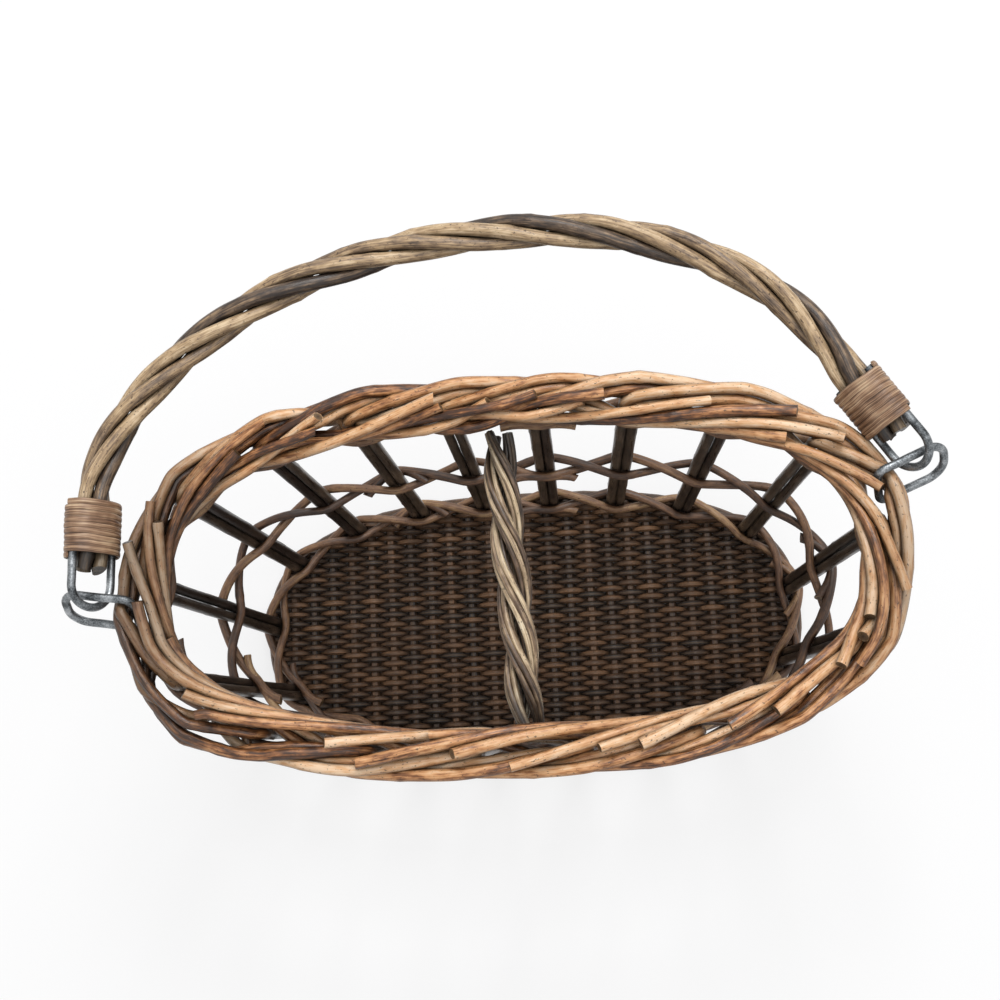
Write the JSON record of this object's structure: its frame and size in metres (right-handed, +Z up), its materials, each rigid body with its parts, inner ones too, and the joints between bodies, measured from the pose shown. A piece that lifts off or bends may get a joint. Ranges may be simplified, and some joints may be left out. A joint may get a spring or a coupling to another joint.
{
  "type": "wine bottle basket",
  "caption": "Oval open-work willow basket for tall bottles, with a woven base, a rolled border, a twisted divider and a rope-twisted handle that swings in iron rings.",
  "frame": {"origin": "middle of the flat underside of the base", "axes": "+X along the basket's length, +Y towards the long side on which the handle lies back, +Z up"},
  "size_m": [0.3165, 0.2006, 0.1959],
  "materials": {
    "willow_border": "satin",
    "willow_dark": "matte",
    "willow_floor": "matte",
    "willow_divider": "matte",
    "willow_handle": "matte",
    "cane_binding": "satin",
    "forged_iron": "dull"
  },
  "bodies": {
    "basket": {"base_mat": "willow_floor", "stake_pair_01": "willow_border", "stake_pair_02": "willow_border", "stake_pair_03": "willow_border", "stake_pair_04": "willow_border", "stake_pair_05": "willow_border", "stake_pair_06": "willow_border", "stake_pair_07": "willow_border", "stake_pair_08": "willow_border", "stake_pair_09": "willow_border", "stake_pair_10": "willow_border", "stake_pair_11": "willow_border", "stake_pair_12": "willow_border", "stake_pair_13": "willow_border", "stake_pair_14": "willow_border", "stake_pair_15": "willow_border", "stake_pair_16": "willow_border", "stake_pair_17": "willow_border", "stake_pair_18": "willow_border", "foot_wale_1": "willow_dark", "foot_wale_2": "willow_dark", "mid_fitch_1": "willow_dark", "mid_fitch_2": "willow_dark", "top_wale_1": "willow_dark", "top_wale_2": "willow_dark", "divider_strand_1": "willow_divider", "divider_strand_2": "willow_divider", "divider_strand_3": "willow_divider"},
    "handle": {"handle_rod_1": "willow_handle", "handle_rod_2": "willow_handle", "handle_rod_3": "willow_handle", "handle_rod_4": "willow_handle", "eye_right": "forged_iron", "eye_left": "forged_iron", "binding_right": "cane_binding", "binding_left": "cane_binding"},
    "ring_right": {"ring_right": "forged_iron"},
    "ring_left": {"ring_left": "forged_iron"}
  },
  "joints": [
    {"name": "handle_swing", "type": "hinge", "parent": "basket", "child": "handle", "pos_m": [-0.00263, 0.01569, 0.18535], "axis": [0.9934, 0.1149, 0], "range_deg": [0, 140]},
    {"name": "ring_right_rock", "type": "hinge", "parent": "basket", "child": "ring_right", "pos_m": [0.13473, 0.0248, 0.17825], "axis": [0.3842, -0.9232, 0], "range_deg": [0, 6]},
    {"name": "ring_left_rock", "type": "hinge", "parent": "basket", "child": "ring_left", "pos_m": [-0.13845, -0.00679, 0.17825], "axis": [0.1634, 0.9866, 0], "range_deg": [0, 6]}
  ]
}
